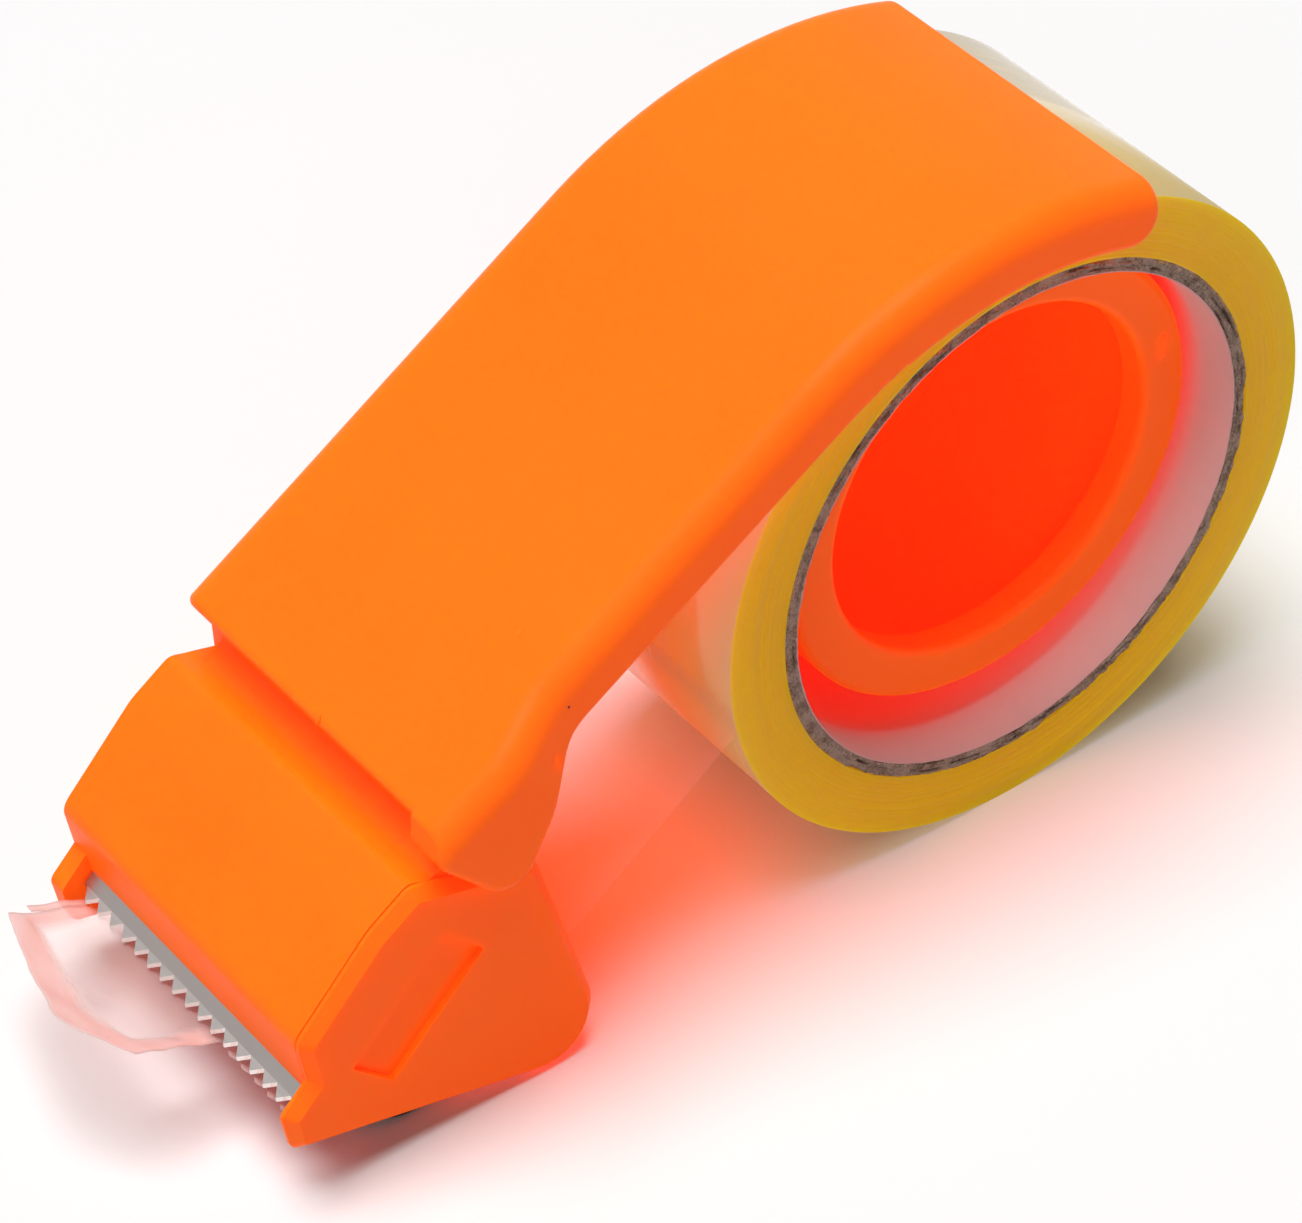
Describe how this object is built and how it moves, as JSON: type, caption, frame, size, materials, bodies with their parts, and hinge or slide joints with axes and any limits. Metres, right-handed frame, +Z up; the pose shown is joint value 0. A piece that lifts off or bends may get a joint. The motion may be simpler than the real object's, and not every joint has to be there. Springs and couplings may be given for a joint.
{
  "type": "tape dispenser",
  "caption": "Hand-held packing tape dispenser: moulded handle with a head that holds a toothed blade and a rubber roller, and a roll of clear tape that turns on a hub.",
  "frame": {"origin": "middle of the box's floor, on the surface that the dispenser stands on", "axes": "+X from the head to the roll, +Y across the tape from the near side to the far side, +Z up"},
  "size_m": [0.1884, 0.0598, 0.103],
  "materials": {
    "orange_plastic": "moulded, satin gloss",
    "blade_steel": "stamped strip",
    "roller_plastic": "moulded",
    "roller_rubber": "moulded, matte",
    "core_cardboard": "spiral wound tube, cut edge",
    "liner_paper": "smooth white paper",
    "wound_tape": "clear film wound in many layers",
    "tape_film": "clear film"
  },
  "bodies": {
    "root": {"body": "orange_plastic", "near_cheek": "orange_plastic", "hub_drum": "orange_plastic", "blade": "blade_steel", "roller_axle": "blade_steel", "tape_run": "tape_film", "tape_nose": "tape_film", "tape_tail": "tape_film"},
    "roll": {"tape_core": "core_cardboard", "core_liner": "liner_paper", "tape_winding": "wound_tape"},
    "roller": {"roller_core": "roller_plastic", "roller_sleeve": "roller_rubber"}
  },
  "joints": [
    {"name": "roll_spin", "type": "hinge", "parent": "root", "child": "roll", "pos_m": [0.04479, 0.0016, 0.04939], "axis": [0, 1, 0], "continuous": true},
    {"name": "roller_spin", "type": "hinge", "parent": "root", "child": "roller", "pos_m": [-0.05671, 0.0016, 0.0086], "axis": [0, 1, 0], "continuous": true}
  ],
  "couplings": [
    {"joint": "roller_spin", "follows": "roll_spin", "ratio": -6.5853}
  ]
}
